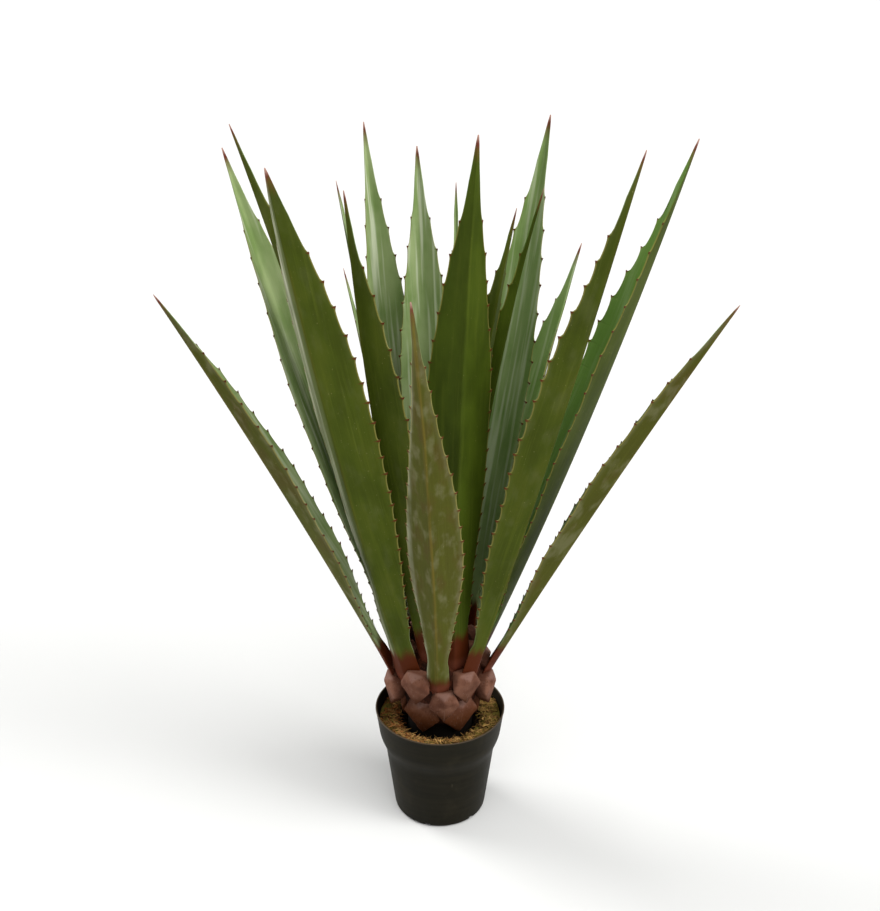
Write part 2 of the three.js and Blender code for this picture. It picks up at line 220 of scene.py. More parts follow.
# Each leaf: bearing, distance out and height of its base, its tip, bow inwards and sideways, full width,
# slope of each half, bearing and twist of its outer face, outline, age (0 young, 1 old), bloom with painted
# shade (a low value darkens the inner face for the shade it sits in), and depth of a bay between two teeth as
# a share of its length
leafRows = {
    "leaf_low_1": (-93, 50, 196, (-26, -190, 707), 0, 4, 70, 33, -99, 0, "short", 0.85, 0.5, 0.06),
    "leaf_low_2": (-46, 50, 198, (190, -80, 815), -4, 0, 72, 38, -42, 0, "long", 0.2, 0.3, 0.115),
    "leaf_low_3": (-8, 57, 196, (294, -60, 657), 3, 0, 54, 44, -22, -16, "spreading", 0.8, 0.3, 0.06),
    "leaf_low_4": (34, 50, 198, (158, 150, 654), 7, 0, 66, 38, 30, 0, "long", 0.3, 0.3, 0.07),
    "leaf_low_5": (68, 50, 200, (18, 190, 712), 0, 0, 46, 38, 90, 0, "short", 0.3, 0.8, 0.08),
    "leaf_low_6": (101, 50, 198, (-4, 230, 571), 0, 0, 62, 38, 95, 0, "short", 0.7, 0.6, 0.08),
    "leaf_low_7": (133, 50, 198, (-110, 170, 618), 16, 0, 50, 38, 150, 0, "short", 0.3, 0.9, 0.08),
    "leaf_low_8": (162, 50, 198, (-157, 120, 562), 0, 0, 58, 38, 136, 0, "short", 0.7, 0.6, 0.08),
    "leaf_low_9": (-170, 57, 196, (-280, -60, 668), 4, 0, 54, 44, -174, 44, "spreading", 0.75, 0.5, 0.06),
    "leaf_low_10": (-138, 50, 198, (-161, -90, 801), -7, 0, 86, 38, -117, 0, "broad", 0.15, 0.4, 0.065),
    "leaf_tall_1": (-66, 40, 220, (36, -50, 822), 0, -9, 84, 38, -84, 0, "long", 0.0, 0.1, 0.05),
    "leaf_tall_2": (4, 48, 212, (254, 10, 804), -9, 0, 84, 38, 4, 0, "long", 0.1, 0.1, 0.12),
    "leaf_tall_3": (55, 42, 218, (113, 80, 812), -1, 0, 81, 42, 76, 0, "long", 0.0, 0.4, 0.09),
    "leaf_tall_4": (118, 42, 218, (-80, 110, 798), 0, 5, 68, 38, 114, 0, "long", 0.1, 0.9, 0.06),
    "leaf_tall_5": (164, 44, 214, (-222, 60, 783), -4, 0, 76, 38, 127, 0, "long", 0.2, 0.7, 0.05),
    "leaf_tall_6": (-164, 42, 220, (-206, 12, 818), 6, 0, 66, 40, -140, 0, "long", 0.2, 0.4, 0.06),
    "leaf_tall_7": (-123, 36, 228, (-93, -36, 765), -9, 0, 74, 38, -142, 0, "long", 0.15, 0.5, 0.07),
    "leaf_heart_1": (92, 28, 240, (-24, 88, 778), 0, 0, 76, 38, 92, 0, "long", 0.0, 0.9, 0.07),
    "leaf_heart_2": (156, 26, 242, (-107, 60, 749), 0, 0, 40, 38, 160, 0, "long", 0.1, 0.8, 0.08),
    "leaf_heart_3": (16, 26, 242, (104, 15, 753), 13, 0, 36, 50, -60, 0, "long", 0.0, 0.0, 0.08),
    "leaf_heart_4": (-40, 24, 244, (75, -26, 745), 10, 0, 46, 45, -66, 0, "long", 0.1, 0.1, 0.08),
}

# Leaves with a painted highlight on the left side of the outer face, a grey-white sheen standing in for light
# grazing it from the left, and the share of the half width where it begins
paintedSheenSides = {"leaf_low_1": 0.84, "leaf_low_10": 0.4}


# Middle, direction, side and inward normal of a leaf at shares of its length, as arrays. The middle runs
# on a quadratic curve from base to tip, and below the base straight on along its start.
def leafFrames(row, share):
    at, out, up, tip, arch, sway = row[:6]
    facing, turn = row[8:10]
    base = np.array([out * math.cos(math.radians(at)), out * math.sin(math.radians(at)), up])
    tip = np.array(tip, float)
    chord = tip - base
    length = np.linalg.norm(chord)
    across = np.cross([0, 0, 1], chord)
    across /= np.linalg.norm(across)
    inward = np.cross(chord / length, across)
    control = (base + tip) / 2 + 2 * arch * inward + 2 * sway * across
    t = np.clip(share, 0, 1)[..., None]
    middle = (1 - t) ** 2 * base + 2 * t * (1 - t) * control + t ** 2 * tip
    direction = (1 - t) * (control - base) + t * (tip - control)
    direction /= np.linalg.norm(direction, axis=-1, keepdims=True)
    middle = middle + direction * np.minimum(share, 0)[..., None] * length
    bearing = np.radians(facing + turn * (t[..., 0] - 0.5))
    side = np.stack([-np.sin(bearing), np.cos(bearing), 0 * bearing], axis=-1)
    normal = np.cross(direction, side)
    normal /= np.linalg.norm(normal, axis=-1, keepdims=True)
    return middle, direction, np.cross(normal, direction), normal, length


# Places along one margin in mm from the base: a few below the teeth, then for each tooth eight round its
# hook and three in the bay above it, then a run to the tip. The spacing grows evenly towards the tip.
# Returns them with the spike (0 to 1) at each and the bay there, in mm of its length where it is deepest.
# A bay falls steeply above its lower tooth, is deepest a fifth of the way up and comes out slowly.
def marginStations(length, count, random):
    start, end = leafSizes["firstTooth"] * length, leafSizes["lastTooth"] * length
    gaps = np.geomspace(1, leafSizes["spacingAtTip"], count - 1) * random.uniform(0.85, 1.15, count - 1)
    teeth = start + np.concatenate([[0], np.cumsum(gaps)]) * (end - start) / gaps.sum()
    teeth = teeth + random.uniform(-0.25, 0.25) * (teeth[1] - teeth[0])
    hook = teeth[:, None] + np.array(leafSizes["hookPoints"])
    bay = hook[:-1, -1:] + (hook[1:, :1] - hook[:-1, -1:]) * np.array(leafSizes["bayPoints"])
    body = np.concatenate([hook[:-1], bay], axis=1).ravel()
    below = np.linspace(-leafSizes["root"], hook[0, 0], 12)[:-1]
    above = hook[-1, -1] + (length - hook[-1, -1]) * np.linspace(0, 1, 26)[1:] ** 0.9
    places = np.concatenate([below, body, hook[-1], above])
    nearest = teeth[np.abs(places[:, None] - teeth).argmin(axis=1)]
    away = places - nearest
    reach = np.where(away > 0, leafSizes["hookAbove"], leafSizes["hookBelow"])
    spike = np.clip(1 - np.abs(away) / reach, 0, 1) ** 1.5
    edges = np.concatenate([[start - 30], teeth, [teeth[-1] + 40]])
    i = np.clip(np.searchsorted(edges, places) - 1, 0, len(edges) - 2)
    gap = edges[i + 1] - edges[i]
    t = np.clip((places - edges[i]) / gap, 0, 1)
    depth = np.minimum(1, (t / 0.15) ** 0.8) * (1 - np.clip((t - 0.2) / 0.8, 0, 1) ** 2.5)
    return places, spike, depth * np.minimum(gap, leafSizes["bayLongest"])


# A leaf as one loop of points at each station: the inner face from margin to margin, the rounded edge, the
# outer face back and the other edge. Each half slopes up from a soft keel by (hypot(u, soft) - soft), the
# blade thins from keel to margin, and the margins carry bays and hooks that lean up the leaf.
def makeLeaf(name, row, number, material):
    random = np.random.default_rng(400 + number)
    wide, fold = row[6:8]
    form, age, bloomAndShade, bayShare = row[10:]
    redReach = 0.25 if number == 0 else random.uniform(0.75, 1.1)  # the front leaf is green to its base
    length = leafFrames(row, np.zeros(1))[4]
    spread = (leafSizes["lastTooth"] - leafSizes["firstTooth"]) * length
    count = round(spread / leafSizes["toothSpacing"])
    sides = [marginStations(length, count, random) for _ in range(2)]
    middlePlaces = (sides[0][0] + sides[1][0]) / 2

    def halfWidth(share):
        narrow = 1 - 0.2 * np.clip(-share * length / leafSizes["root"], 0, 1)
        outline = smoothCurve(share, leafSizes["stations"], leafSizes[form]) * wide / 2
        return np.maximum(outline, 0.35) * narrow

    half = halfWidth(middlePlaces / length)
    rim = 1 - np.minimum(1.3 / half, 0.15)
    near = 1 - np.minimum(3.4 / half, 0.33)
    right = np.stack([near * k for k in leafSizes["acrossPoints"]] + [near, rim, np.ones_like(rim)], axis=1)
    u = np.concatenate([-right[:, :0:-1], right], axis=1)  # from -1 at the left margin to 1 at the right one
    share = (1 + u) / 2  # of the right margin's values
    places = sides[0][0][:, None] * (1 - share) + sides[1][0][:, None] * share
    spike = np.where(u < 0, sides[0][1][:, None], sides[1][1][:, None]) * np.abs(u) ** 9
    bay = np.where(u < 0, sides[0][2][:, None], sides[1][2][:, None]) * np.abs(u) ** 6
    fade = np.clip((1 - places / length) / 0.22, 0, 1) * np.clip(places / 60, 0, 1)
    along = np.minimum(places + 1.2 * spike, length)
    middle, direction, side, normal, _ = leafFrames(row, along / length)
    half = halfWidth(along / length)
    reach = half + (leafSizes["cusp"] + leafSizes["spike"] * spike - bayShare * bay) * fade
    reach = reach * (1 + 0.02 * lumps(np.stack([along / 60, np.sign(u), 0 * u + number], axis=-1), 1.0, 5))
    slope = np.radians(fold) * np.interp(along / length, [0, 0.08, 0.2, 0.75, 1], [0.4, 0.6, 1, 1, 0.85])
    thick = leafSizes["tipThickness"] + (leafSizes["baseThickness"] - leafSizes["tipThickness"]) * (
        1 - np.clip(along / length, 0, 1)) ** 1.3
    edge = np.minimum(leafSizes["edgeThickness"], half * 0.8) * (1 - 0.55 * spike)
    thick = np.minimum(thick, half * 1.5)
    thick = thick + (edge - thick) * u * u
    phase = random.uniform(0, 6.28, 2)
    wave = leafSizes["wave"] * np.abs(u) ** 3 * fade * np.where(
        u < 0, *[np.sin(along / size + start) for size, start in zip(leafSizes["waveLengths"], phase)])

    def rise(soft):
        return reach * (np.hypot(u, soft) - soft) / (np.hypot(1, soft) - soft) * np.sin(slope)

    insideLift = rise(leafSizes["keelInside"]) + thick / 2
    outsideLift = np.minimum(rise(leafSizes["keelOutside"]) - thick / 2, insideLift - 0.55 * thick)
    flat = middle + side * (reach * u * np.cos(slope))[..., None]
    inner, outer = [flat + normal * (lift + wave)[..., None] for lift in (insideLift, outsideLift)]
    push = side * (np.sign(u) * 0.4 * edge)[..., None]
    rims = (inner + outer) / 2 + push
    loop = np.concatenate([inner, rims[:, -1:], outer[:, ::-1], rims[:, :1]], axis=1)
    points, quads, triangles = skinsOver(loop[None])

    def looped(onInner, onRim, onOuter):
        parts = [onInner, onRim[:, -1:], onOuter[:, ::-1], onRim[:, :1]]
        return onSkins(np.concatenate(parts, axis=1)[None])

    def same(values):
        return looped(values, values, values)

    whole = np.ones_like(u)
    across = reach * u
    margin = reach * (1 - np.abs(u))
    # Painted highlight: how much of the grey-white sheen lies on the outer face's left side, fading in over a
    # tenth of the half width
    paintedSheen = np.clip((-u - paintedSheenSides.get(name, 1)) / 0.1, 0, 1)
    attributes = {
        "skinPlace": (same(across), same(along), same(whole * number * 37)),
        "skinForm": (looped(whole, whole * 0.5, whole * 0), same(spike),
                     looped(margin, margin - 0.4, margin)),
        "skinEnds": (same(along), same(length - along), same(whole * age)),
        "skinTone": (same(whole * bloomAndShade), same(whole * redReach), same(paintedSheen)),
    }
    pieceName = name.replace("leaf_", "agave_leaf_")
    return makePiece(pieceName, [name], "leaf", material, points, quads, triangles, attributes)


# Agave leaf skin: living tissue, grown, tough and waxy. A satin olive green outside, with a painted
# grey-white sheen on the left of some leaves; a dull whitish bloom inside, with painted whitish highlights
# and, where the bloom is low, painted shade; streaks along the leaf, a horny yellow-brown rim with red-brown
# hooks, and red-brown ends.
def leafSkin():
    material, tree, shader = newMaterial("agaveLeafSkin", 0.6, 1.45, 0.1)
    place = addNode(tree, "Attribute", attribute_name="skinPlace").outputs["Vector"]
    inner, tooth, margin = attributeParts(tree, "skinForm")
    fromBase, fromTip, age = attributeParts(tree, "skinEnds")
    bloomAndShade, redReach, paintedSheen = attributeParts(tree, "skinTone")
    fine = grain(tree, place, (1 / 1.1, 1 / 70, 0.1))
    broad = grain(tree, place, (1 / 6, 1 / 130, 0.1))
    patches = grain(tree, place, (1 / 26, 1 / 60, 0.1), 4.0)
    specks = grain(tree, place, (1 / 1.6, 1 / 2.6, 0.1), 1.0)

    outside = over(tree, linear("#374409"), linear("#455410"), ramp(tree, patches, 0.3, 0.72))
    outside = over(tree, outside, linear("#58641C"), times(tree, ramp(tree, broad, 0.52, 0.75), 0.3))
    outside = over(tree, outside, linear("#5C4F1A"), times(tree, age, 0.45))
    stain = times(tree, ramp(tree, patches, 0.47, 0.62), age)
    outside = over(tree, outside, linear("#4C3A18"), times(tree, stain, 0.6))
    chalk = grain(tree, place, (1 / 12, 1 / 26, 0.1), 4.0)
    chalk = times(tree, ramp(tree, chalk, 0.48, 0.72), age)
    outside = over(tree, outside, linear("#8F8C6C"), times(tree, chalk, 0.35))
    wear = times(tree, ramp(tree, margin, 7.0, 1.0), age)
    outside = over(tree, outside, linear("#8E8E6E"), times(tree, wear, 0.15))
    # Painted highlight: a broken grey-white sheen on the outer face's left side, for light grazing it from
    # the left
    sheenBreakup = times(tree, ramp(tree, broad, 0.25, 0.75), ramp(tree, patches, 0.2, 0.6))
    outside = over(tree, outside, linear("#A4A68E"), times(tree, paintedSheen, sheenBreakup))
    across = addNode(tree, "SeparateXYZ", {0: place}).outputs[0]
    keel = times(tree, ramp(tree, maths(tree, "ABSOLUTE", across), 3.5, 0.3), age)
    outside = over(tree, outside, linear("#746426"), times(tree, keel, ramp(tree, broad, 0.3, 0.7)))
    waxy = over(tree, linear("#7C9456"), linear("#A0B07C"), ramp(tree, patches, 0.25, 0.7))
    # Partly painted shade: with low bloom the inner face turns deep green, standing in for the shade it sits
    # in
    inside = over(tree, linear("#587A2E"), waxy, ramp(tree, bloomAndShade, 0.0, 0.7))
    # Painted highlight: whitish patches on the inner face stand in for its glossy shine, as well as for
    # thicker bloom
    inside = over(tree, inside, linear("#D3DABC"), times(tree, ramp(tree, broad, 0.48, 0.7), bloomAndShade))
    skin = over(tree, outside, inside, inner)
    pale = over(tree, linear("#7C8636"), linear("#AEB78E"), inner)
    skin = over(tree, skin, pale, times(tree, ramp(tree, fine, 0.55, 0.8), 0.12))
    skin = over(tree, skin, linear("#26300C"), times(tree, ramp(tree, fine, 0.45, 0.2), 0.12))
    skin = over(tree, skin, linear("#A9A46C"), times(tree, ramp(tree, specks, 0.74, 0.8), 0.3))

    blur = times(tree, maths(tree, "SUBTRACT", broad, 0.5), 20.0)
    low = maths(tree, "ADD", fromBase, blur)
    low = maths(tree, "SUBTRACT", low, times(tree, redReach, 42.0))
    skin = over(tree, skin, linear("#4E2008"), ramp(tree, low, 12.0, -6.0))
    skin = over(tree, skin, linear("#7A4434"), times(tree, ramp(tree, fromBase, 12.0, 2.0), 0.35))
    high = maths(tree, "ADD", fromTip, times(tree, maths(tree, "SUBTRACT", fine, 0.5), 16.0))
    skin = over(tree, skin, linear("#6A4A26"), times(tree, ramp(tree, high, 30.0, 12.0), 0.6))
    skin = over(tree, skin, linear("#6E382A"), ramp(tree, high, 15.0, 7.0))
    skin = over(tree, skin, linear("#B08A7C"), ramp(tree, fromTip, 9.0, 1.0))
    rimShare = times(tree, ramp(tree, margin, 1.0, 0.3), ramp(tree, fromBase, 40.0, 160.0))
    rimShare = times(tree, rimShare, ramp(tree, fromTip, 50.0, 110.0))
    skin = over(tree, skin, linear("#8C8040"), times(tree, rimShare, 0.55))
    skin = over(tree, skin, linear("#5A2E16"), ramp(tree, tooth, 0.25, 0.55))
    tree.links.new(skin, shader.inputs["Base Color"])

    dull = maths(tree, "ADD", times(tree, inner, 0.12), 0.56)
    tree.links.new(maths(tree, "ADD", dull, times(tree, broad, 0.1)), shader.inputs["Roughness"])
    height = maths(tree, "ADD", times(tree, fine, 0.7), times(tree, specks, 0.3))
    bump = addNode(tree, "Bump", {"Strength": 0.35, "Distance": 0.25 * mm, "Height": height})
    tree.links.new(bump.outputs[0], shader.inputs["Normal"])
    return material


skinMaterial = leafSkin()
for leafNumber, (leafName, leafRow) in enumerate(leafRows.items()):
    makeLeaf(leafName, leafRow, leafNumber, skinMaterial)
print("leaves made:", len(leafRows))


# Trunk

trunkSizes = {
    "core": [(0, 62), (36, 62), (38, 66), (38, 126), (41, 146), (45, 166), (49, 186), (48, 200), (41, 217),
             (34, 232), (25, 247), (13, 260), (0, 266)],
    "crispness": 44,  # of the edges between two facets
}
# Bearing, height of the middle, radius of the furthest point, width and height of each stub
stubRows = np.array([
    (-119, 148, 51, 49, 48), (-59, 149, 52, 50, 48), (1, 147, 51, 50, 46), (62, 148, 50, 50, 47),
    (121, 147, 51, 50, 46), (180, 148, 51, 49, 47),
    (-85, 172, 62, 37, 40), (-17, 173, 68, 40, 42), (34, 173, 62, 42, 42), (92, 172, 61, 42, 42),
    (149, 174, 62, 42, 42), (-162, 173, 68, 42, 42),
    (-121, 192, 63, 40, 44), (-57, 193, 64, 38, 42), (6, 195, 60, 36, 40), (64, 194, 61, 40, 42),
    (120, 195, 62, 40, 42), (176, 195, 60, 37, 40),
    (-154, 220, 54, 24, 32), (-26, 220, 54, 24, 32), (24, 220, 50, 24, 30), (92, 219, 53, 26, 32),
    (142, 220, 51, 24, 30),
], float)
# Corners of a stub as shares of its width, mm out and shares of its height, then the flat faces on them
stubCorners = np.array([(-0.28, -8, 0.5), (0.28, -8, 0.5), (0, 0, 0.33), (-0.5, -7, 0.06), (0.5, -7, 0.06),
                        (0, -8.5, -0.5), (-0.24, -26, 0.44), (0.24, -26, 0.44), (0, -26, -0.4)])
stubFaces = np.array([(0, 1, 2), (0, 2, 3), (1, 4, 2), (2, 5, 3), (2, 4, 5), (0, 6, 1), (0, 3, 6), (3, 8, 6),
                      (3, 5, 8), (1, 7, 4), (4, 7, 8), (4, 8, 5), (6, 8, 7)])


# The cut stubs of all rows at once. From a stub's middle, a grid of directions is pushed out until it meets
# the stub's flat faces; a sum of high powers of the nearness to each face rounds the edges a little.
def stubSkins():
    random = np.random.default_rng(11)
    bearings, heights, outs = np.radians(stubRows[:, 0]), stubRows[:, 1], stubRows[:, 2]
    sizes = np.stack([stubRows[:, 3], 1 + 0 * outs, stubRows[:, 4]], axis=-1)
    corners = stubCorners * sizes[:, None]
    centre = np.array([0, -13.0, 0])
    a, b, c = [corners[:, stubFaces[:, i]] for i in range(3)]
    normals = np.cross(b - a, c - a)
    distances = np.einsum("sfi,sfi->sf", normals, a - centre)
    normals = normals / distances[..., None]  # a point x from the centre lies on a face where normal . x is 1
    ring = np.pi * (np.arange(1, 34) / 34) ** 1.15
    around = np.arange(52) * 2 * np.pi / 52
    ring, around = np.meshgrid(ring, around, indexing="ij")
    rays = np.stack([np.sin(ring) * np.cos(around), np.cos(ring), np.sin(ring) * np.sin(around)], axis=-1)
    nearness = np.maximum(np.einsum("sfi,nmi->snmf", normals, rays), 0) ** trunkSizes["crispness"]
    total = nearness.sum(axis=-1)
    share = nearness / total[..., None]
    points = rays / (total ** (1 / trunkSizes["crispness"]))[..., None]
    offset = np.arange(len(sizes))[:, None, None, None] * np.array([53.0, 17.0, 31.0])
    rough = 0.5 * lumps(points + offset, 7, 21) + 0.3 * lumps(points * [1, 1, 0.35] + offset, 1.6, 22)
    points = points * (1 + 0.03 * rough)[..., None] + centre
    cosine, sine = np.cos(bearings)[:, None, None], np.sin(bearings)[:, None, None]
    radius = outs[:, None, None] + points[..., 1]
    x = radius * cosine - points[..., 0] * sine
    y = radius * sine + points[..., 0] * cosine
    z = heights[:, None, None] + points[..., 2]
    edge = 1 - np.clip((share.max(axis=-1) - 0.5) * 2, 0, 1)
    level = points[..., 2] / sizes[:, 2, None, None]
    chance = random.uniform(0, 1, len(sizes))[:, None, None] + 0 * level
    return np.stack([x, y, z], axis=-1), (share[..., 0], edge, level), (chance, points[..., 0], z)


# The trunk's core: the profile turned round the axis, with lumps
def coreRings():
    profile = np.array(trunkSizes["core"], float)
    steps = np.linspace(0, len(profile) - 1, 90)[1:-1]
    radius = np.interp(steps, np.arange(len(profile)), profile[:, 0])
    height = np.interp(steps, np.arange(len(profile)), profile[:, 1])
    around = np.arange(96) * 2 * np.pi / 96
    rings = np.stack([radius[:, None] * np.cos(around), radius[:, None] * np.sin(around),
                      height[:, None] + 0 * around], axis=-1)
    rough = 0.9 * lumps(rings, 9, 31) + 0.4 * lumps(rings, 3, 32)
    rings[..., :2] *= (1 + rough / 50)[..., None]
    return rings


# Cut agave leaf bases: dry plant fibre, cut with a knife and weathered. Dull mauve-brown facets with pale
# cuts and pale edges that are partly wear and partly painted highlight, browner towards each stub's foot,
# fibres running up and down.
def cutStubFibre():
    material, tree, shader = newMaterial("driedLeafStubFibre", 0.78, 1.45)
    cut, edge, level = attributeParts(tree, "stubForm")
    chance, _, height = attributeParts(tree, "stubPlace")
    place = addNode(tree, "TexCoord").outputs["Object"]
    fibres = grain(tree, place, (900, 900, 130), 3.0)
    stains = grain(tree, place, (60, 60, 60), 3.0)
    dust = grain(tree, place, (400, 400, 400), 2.0)
    colour = over(tree, linear("#513022"), linear("#75503F"), ramp(tree, stains, 0.32, 0.68))
    colour = over(tree, colour, linear("#6E4636"), times(tree, chance, 0.6))
    colour = over(tree, colour, linear("#52290C"), times(tree, ramp(tree, height, 172.0, 146.0), 0.85))
    colour = over(tree, colour, linear("#42220D"), times(tree, ramp(tree, level, 0.02, -0.42), 0.75))
    colour = over(tree, colour, linear("#86675C"), times(tree, cut, 0.6))
    # Pale edges: partly wear, partly a painted highlight for the shine that catches the stubs' corners
    edgeWearAndHighlight = times(tree, ramp(tree, edge, 0.6, 1.0), ramp(tree, stains, 0.45, 0.65))
    colour = over(tree, colour, linear("#A98C82"), times(tree, edgeWearAndHighlight, 0.2))
    colour = over(tree, colour, linear("#A88C80"), times(tree, ramp(tree, fibres, 0.6, 0.75), 0.22))
    colour = over(tree, colour, linear("#301A0F"), times(tree, ramp(tree, dust, 0.42, 0.25), 0.4))
    tree.links.new(colour, shader.inputs["Base Color"])
    relief = maths(tree, "ADD", times(tree, fibres, 0.6), times(tree, dust, 0.4))
    bump = addNode(tree, "Bump", {"Strength": 0.6, "Distance": 0.5 * mm, "Height": relief})
    tree.links.new(bump.outputs[0], shader.inputs["Normal"])
    return material


# Dry sheath tissue between the stubs: dark red-brown, dull and fibrous, and painted near black at its foot as
# the shade under the stubs
def sheathFibre():
    material, tree, shader = newMaterial("drySheathFibre", 0.85, 1.45)
    place = addNode(tree, "TexCoord").outputs["Object"]
    fibres = grain(tree, place, (700, 700, 60), 3.0)
    stains = grain(tree, place, (70, 70, 70), 3.0)
    height = addNode(tree, "SeparateXYZ", {0: place}).outputs[2]
    colour = over(tree, linear("#1E0F09"), linear("#4E2616"), ramp(tree, stains, 0.35, 0.7))
    colour = over(tree, colour, linear("#7D4A35"), times(tree, ramp(tree, fibres, 0.55, 0.75), 0.5))
    # Painted shade: near black below about 150 mm, standing in for the shadow under the lowest stubs
    colour = over(tree, colour, linear("#0B0704"), ramp(tree, height, 0.15, 0.136))
    tree.links.new(colour, shader.inputs["Base Color"])
    bump = addNode(tree, "Bump", {"Strength": 0.7, "Distance": 0.8 * mm, "Height": fibres})
    tree.links.new(bump.outputs[0], shader.inputs["Normal"])
    return material


stubRings, stubForm, stubPlace = stubSkins()
makePiece("cut_leaf_stubs", ["trunk"], "trunk", cutStubFibre(), *skinsOver(stubRings), {
    "stubForm": [onSkins(values) for values in stubForm],
    "stubPlace": [onSkins(values) for values in stubPlace],
})
makePiece("trunk_core", ["trunk"], "trunk", sheathFibre(), *skinsOver(coreRings()[None]))
print("trunk made")


# Pot

potSizes = {
    "sides": 160,
    # radius, height and rounding of each corner, from the middle of the underside up and back inside
    "profile": [(0.01, 0, 0), (51, 0, 0.8), (53.4, 1.4, 1.2), (54.4, 5, 2.5), (64.5, 86, 7), (71, 102, 7),
                (75.4, 135, 0.7), (76, 136, 0.5), (75.6, 137, 0.5), (74.2, 137, 0.5), (69.2, 102.5, 7),
                (62.7, 86.5, 7), (52.6, 5.5, 2), (50.4, 2, 1.5), (0.01, 2, 0)],
    "drains": 6,
    "drainBearing": 194,
    "drainRadius": 53,
    "drainSize": (12, 7, 6),
    "drainUp": 1.4,
}


# Each corner of the profile becomes a quadratic curve that starts and ends at its rounding along both
# sides, and long sides get points in between
def roundedProfile(corners, longest=6.0):
    out = [np.array(corners[0][:2], float)]
    for before, here, after in zip(corners, corners[1:], corners[2:]):
        a, b, c = [np.array(p[:2], float) for p in (before, here, after)]
        start = b + (a - b) / np.linalg.norm(a - b) * here[2]
        end = b + (c - b) / np.linalg.norm(c - b) * here[2]
        for t in np.linspace(0, 1, 5):
            out.append((1 - t) ** 2 * start + 2 * t * (1 - t) * b + t ** 2 * end)
    out.append(np.array(corners[-1][:2], float))
    filled = [out[0]]
    for point in out[1:]:
        steps = max(1, math.ceil(np.linalg.norm(point - filled[-1]) / longest))
        start = filled[-1]
        for k in range(1, steps + 1):
            filled.append(start + (point - start) * k / steps)
    return np.array(filled)


# A profile turned round the axis, as rings
def turnedRings(profile, sides):
    around = np.arange(sides) * 2 * np.pi / sides
    radius, height = profile[:, 0, None], profile[:, 1, None]
    return np.stack([radius * np.cos(around), radius * np.sin(around), height + 0 * around], axis=-1)


# Drain holes: boxes with rounded corners cut out of the foot's corner
def cutDrains(piece):
    for i in range(potSizes["drains"]):
        bearing = math.radians(potSizes["drainBearing"] + 360 / potSizes["drains"] * i)
        bpy.ops.mesh.primitive_cube_add(size=1)
        cutter = bpy.context.object
        cutter.scale = [s * mm for s in potSizes["drainSize"]]
        cutter.rotation_euler = (0, 0, bearing)
        radius = potSizes["drainRadius"] * mm
        cutter.location = (radius * math.cos(bearing), radius * math.sin(bearing), potSizes["drainUp"] * mm)
        bevel = cutter.modifiers.new("round", "BEVEL")
        bevel.width = 1.2 * mm
        bevel.segments = 3
        bpy.ops.object.transform_apply(location=True, rotation=True, scale=True)
        hole = piece.modifiers.new("drain", "BOOLEAN")
        hole.object = cutter
        hole.operation = "DIFFERENCE"
        bpy.context.view_layer.update()
        evaluated = piece.evaluated_get(bpy.context.evaluated_depsgraph_get())
        cut = bpy.data.meshes.new_from_object(evaluated)
        piece.modifiers.clear()
        old = piece.data
        piece.data = cut
        bpy.data.meshes.remove(old)
        bpy.data.objects.remove(cutter)


# Moulded polypropylene: near-black warm grey, matt from the mould's fine texture, with a soft sheen,
# faint flow bands round the wall and a little dust and scuffing
def potPlastic():
    material, tree, shader = newMaterial("mouldedPolypropylene", 0.52, 1.49, 0.07)
    place = addNode(tree, "TexCoord").outputs["Object"]
    mould = grain(tree, place, (1400, 1400, 1400), 2.0)
    flow = grain(tree, place, (14, 14, 160), 3.0)
    dust = grain(tree, place, (45, 45, 30), 5.0)
    scuffs = grain(tree, place, (260, 260, 60), 3.0)
    colour = over(tree, linear("#17150C"), linear("#1E1B11"), ramp(tree, flow, 0.3, 0.7))
    colour = over(tree, colour, linear("#5A5240"), times(tree, ramp(tree, dust, 0.5, 0.85), 0.12))
    height = addNode(tree, "SeparateXYZ", {0: place}).outputs[2]
    # Painted highlight: the rim's top face, above about 135.8 mm, is lighter for the light that catches it
    colour = over(tree, colour, linear("#5E5040"), times(tree, ramp(tree, height, 0.1358, 0.1366), 0.6))
    colour = over(tree, colour, linear("#7A705A"), times(tree, ramp(tree, scuffs, 0.7, 0.8), 0.14))
    tree.links.new(colour, shader.inputs["Base Color"])
    tree.links.new(maths(tree, "ADD", times(tree, dust, 0.2), 0.42), shader.inputs["Roughness"])
    bump = addNode(tree, "Bump", {"Strength": 0.25, "Distance": 0.15 * mm, "Height": mould})
    tree.links.new(bump.outputs[0], shader.inputs["Normal"])
    return material


potRings = turnedRings(roundedProfile(potSizes["profile"]), potSizes["sides"])
potPiece = makePiece("nursery_pot", ["pot"], "pot_plastic", potPlastic(), *skinsOver(potRings[None]))
cutDrains(potPiece)
print("pot made")


# Soil and mulch

soilSizes = {
    "top": 118,
    "dish": 46,
    "hole": 38.6,
    "dishDepth": 8,
    "crumbs": 420,
    # radius, height and rounding of the corners that lie against the pot
    "outside": [(0.01, 2.4, 0), (50, 2.4, 0.5), (52.3, 5.9, 1), (62.4, 86.8, 1), (68.9, 102.8, 1)],
}
mulchSizes = {
    "inside": 47.5,
    "outside": 71.5,
    "floor": 118.6,
    "high": 8,
    "clump": 9,  # mm across the coarse heaps; the finer ones are half that
    "wall": 70.3,  # radius of the pot's inside at the soil's top, less a little
    "wallSlope": 0.15,
    # number, shortest and longest, narrowest and widest, and seed of each kind of bit
    "bits": {"mulch_strands": (2300, (5, 17), (0.5, 1.5), 61), "mulch_chips": (420, (3, 9), (1.8, 3.6), 62)},
}


